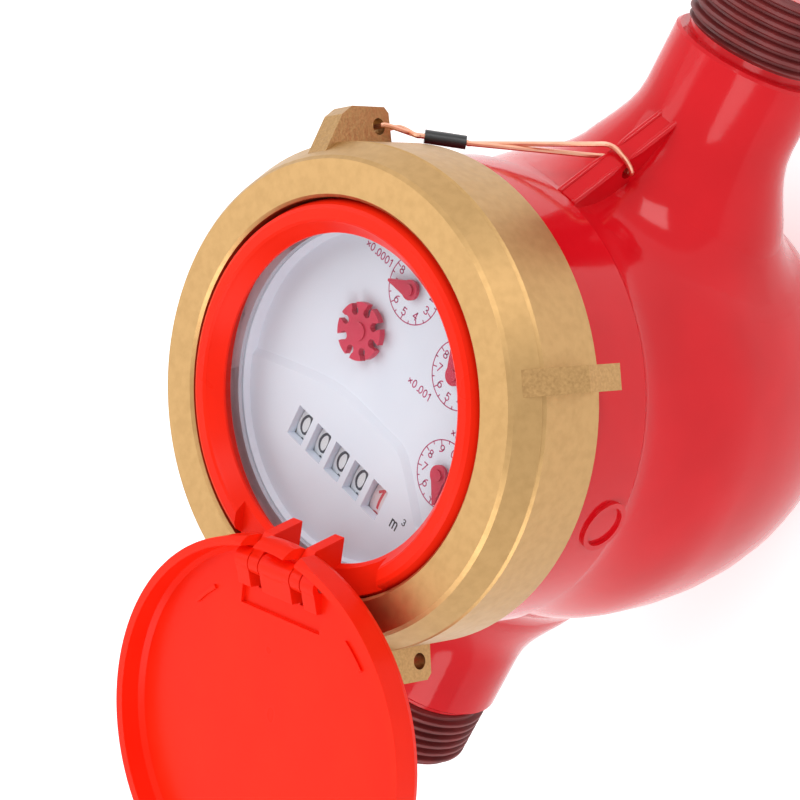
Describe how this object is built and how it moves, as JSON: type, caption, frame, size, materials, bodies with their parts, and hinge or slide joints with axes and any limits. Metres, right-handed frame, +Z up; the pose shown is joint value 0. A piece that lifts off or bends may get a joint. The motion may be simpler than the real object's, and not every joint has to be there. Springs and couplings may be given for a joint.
{
  "type": "water meter",
  "caption": "Multi-jet water meter with a cast body and threaded pipe ends, a brass cover ring, a sealed register with pointers and number rollers, and a hinged lid that stands open.",
  "frame": {"origin": "centre of the flat foot, under the axis of the dial", "axes": "+Z up out of the dial, +X along the pipe towards the outlet, +Y completes the right-handed frame"},
  "size_m": [0.17, 0.0981, 0.1148],
  "materials": {
    "cast_red": "glossy red enamel on a casting",
    "brass": "turned brass with a satin face",
    "red_plastic": "moulded, glossy",
    "white_plastic": "moulded, matt",
    "crimson_plastic": "tinted, slightly see-through",
    "red_roller": "moulded, matt",
    "steel": "ground pin stock",
    "magnet": "sintered ferrite",
    "rubber": "moulded",
    "pale_rubber": "moulded, pale",
    "glass": "clear, flat",
    "copper_wire": "bare copper wire",
    "seal_plastic": "crimped seal"
  },
  "bodies": {
    "housing": {"body": "cast_red", "inlet_strainer": "white_plastic", "measuring_chamber": "white_plastic", "pivot_pin": "steel", "chamber_cover": "white_plastic", "plate_gasket": "rubber", "pressure_plate": "brass", "register_cup": "white_plastic", "gear_plate": "brass", "counter_frame": "brass", "roller_shaft": "steel", "pinion_shaft": "steel", "dial_plate": "white_plastic", "glass_gasket": "pale_rubber", "glass": "glass", "bezel": "red_plastic", "cover_ring": "brass", "hinge_pin": "steel", "seal_wire": "copper_wire", "seal": "seal_plastic"},
    "impeller": {"impeller": "white_plastic", "drive_magnet": "magnet"},
    "magnet_arbor": {"magnet_arbor": "steel", "follower_magnet": "magnet"},
    "star": {"star_arbor": "white_plastic", "star_wheel": "crimson_plastic"},
    "idler_1": {"idler_1": "white_plastic"},
    "pointer_1": {"pointer_arbor_1": "white_plastic", "pointer_1": "crimson_plastic"},
    "idler_2": {"idler_2": "white_plastic"},
    "pointer_2": {"pointer_arbor_2": "white_plastic", "pointer_2": "crimson_plastic"},
    "idler_3": {"idler_3": "white_plastic"},
    "pointer_3": {"pointer_arbor_3": "white_plastic", "pointer_3": "crimson_plastic"},
    "counter_arbor": {"counter_arbor": "white_plastic"},
    "number_roller_5": {"number_roller_5": "red_roller"},
    "transfer_pinion_4": {"transfer_pinion_4": "white_plastic"},
    "number_roller_4": {"number_roller_4": "white_plastic"},
    "transfer_pinion_3": {"transfer_pinion_3": "white_plastic"},
    "number_roller_3": {"number_roller_3": "white_plastic"},
    "transfer_pinion_2": {"transfer_pinion_2": "white_plastic"},
    "number_roller_2": {"number_roller_2": "white_plastic"},
    "transfer_pinion_1": {"transfer_pinion_1": "white_plastic"},
    "number_roller_1": {"number_roller_1": "white_plastic"},
    "lid": {"lid": "red_plastic"}
  },
  "joints": [
    {"name": "impeller_spin", "type": "hinge", "parent": "housing", "child": "impeller", "pos_m": [0, 0, 0], "axis": [0, 0, 1], "continuous": true},
    {"name": "magnet_spin", "type": "hinge", "parent": "housing", "child": "magnet_arbor", "pos_m": [0, 0, 0], "axis": [0, 0, 1], "continuous": true},
    {"name": "star_spin", "type": "hinge", "parent": "housing", "child": "star", "pos_m": [0.00895, 0.00604, 0], "axis": [0, 0, 1], "continuous": true},
    {"name": "idler_1_spin", "type": "hinge", "parent": "housing", "child": "idler_1", "pos_m": [0.01594, 0.00994, 0], "axis": [0, 0, 1], "continuous": true},
    {"name": "pointer_1_spin", "type": "hinge", "parent": "housing", "child": "pointer_1", "pos_m": [0.02077, 0.00073, 0], "axis": [0, 0, 1], "continuous": true},
    {"name": "idler_2_spin", "type": "hinge", "parent": "housing", "child": "idler_2", "pos_m": [0.01453, -0.00429, 0], "axis": [0, 0, 1], "continuous": true},
    {"name": "pointer_2_spin", "type": "hinge", "parent": "housing", "child": "pointer_2", "pos_m": [0.0147, -0.01468, 0], "axis": [0, 0, 1], "continuous": true},
    {"name": "idler_3_spin", "type": "hinge", "parent": "housing", "child": "idler_3", "pos_m": [0.0097, -0.02093, 0], "axis": [0, 0, 1], "continuous": true},
    {"name": "pointer_3_spin", "type": "hinge", "parent": "housing", "child": "pointer_3", "pos_m": [-0.0007, -0.02077, 0], "axis": [0, 0, 1], "continuous": true},
    {"name": "counter_arbor_spin", "type": "hinge", "parent": "housing", "child": "counter_arbor", "pos_m": [-0.00815, -0.0154, 0], "axis": [0, 0, 1], "continuous": true},
    {"name": "number_roller_5_spin", "type": "hinge", "parent": "housing", "child": "number_roller_5", "pos_m": [-0.01305, 0, 0.0884], "axis": [0, 1, 0], "continuous": true},
    {"name": "transfer_pinion_4_spin", "type": "hinge", "parent": "housing", "child": "transfer_pinion_4", "pos_m": [-0.01876, 0, 0.08269], "axis": [0, 1, 0], "continuous": true},
    {"name": "number_roller_4_spin", "type": "hinge", "parent": "housing", "child": "number_roller_4", "pos_m": [-0.01305, 0, 0.0884], "axis": [0, 1, 0], "continuous": true},
    {"name": "transfer_pinion_3_spin", "type": "hinge", "parent": "housing", "child": "transfer_pinion_3", "pos_m": [-0.01876, 0, 0.08269], "axis": [0, 1, 0], "continuous": true},
    {"name": "number_roller_3_spin", "type": "hinge", "parent": "housing", "child": "number_roller_3", "pos_m": [-0.01305, 0, 0.0884], "axis": [0, 1, 0], "continuous": true},
    {"name": "transfer_pinion_2_spin", "type": "hinge", "parent": "housing", "child": "transfer_pinion_2", "pos_m": [-0.01876, 0, 0.08269], "axis": [0, 1, 0], "continuous": true},
    {"name": "number_roller_2_spin", "type": "hinge", "parent": "housing", "child": "number_roller_2", "pos_m": [-0.01305, 0, 0.0884], "axis": [0, 1, 0], "continuous": true},
    {"name": "transfer_pinion_1_spin", "type": "hinge", "parent": "housing", "child": "transfer_pinion_1", "pos_m": [-0.01876, 0, 0.08269], "axis": [0, 1, 0], "continuous": true},
    {"name": "number_roller_1_spin", "type": "hinge", "parent": "housing", "child": "number_roller_1", "pos_m": [-0.01305, 0, 0.0884], "axis": [0, 1, 0], "continuous": true},
    {"name": "lid_hinge", "type": "hinge", "parent": "housing", "child": "lid", "pos_m": [-0.0267, -0.01079, 0.11085], "axis": [0.3746, -0.9272, 0], "range_deg": [-182.5, 0]}
  ],
  "couplings": [
    {"joint": "magnet_spin", "follows": "impeller_spin", "ratio": 1},
    {"joint": "star_spin", "follows": "impeller_spin", "ratio": -0.28571},
    {"joint": "idler_1_spin", "follows": "impeller_spin", "ratio": 0.095238},
    {"joint": "pointer_1_spin", "follows": "impeller_spin", "ratio": -0.028571},
    {"joint": "idler_2_spin", "follows": "impeller_spin", "ratio": 0.0095238},
    {"joint": "pointer_2_spin", "follows": "impeller_spin", "ratio": -0.0028571},
    {"joint": "idler_3_spin", "follows": "impeller_spin", "ratio": 0.00095238},
    {"joint": "pointer_3_spin", "follows": "impeller_spin", "ratio": -0.00028571},
    {"joint": "counter_arbor_spin", "follows": "impeller_spin", "ratio": 0.00028571},
    {"joint": "number_roller_5_spin", "follows": "impeller_spin", "ratio": 0.000028571},
    {"joint": "transfer_pinion_4_spin", "follows": "impeller_spin", "ratio": -0.0000071429},
    {"joint": "number_roller_4_spin", "follows": "impeller_spin", "ratio": 0.0000028571},
    {"joint": "transfer_pinion_3_spin", "follows": "impeller_spin", "ratio": -0.00000071429},
    {"joint": "number_roller_3_spin", "follows": "impeller_spin", "ratio": 0.00000028571},
    {"joint": "transfer_pinion_2_spin", "follows": "impeller_spin", "ratio": -0.000000071429},
    {"joint": "number_roller_2_spin", "follows": "impeller_spin", "ratio": 0.000000028571},
    {"joint": "transfer_pinion_1_spin", "follows": "impeller_spin", "ratio": -0.0000000071429},
    {"joint": "number_roller_1_spin", "follows": "impeller_spin", "ratio": 0.0000000028571}
  ]
}
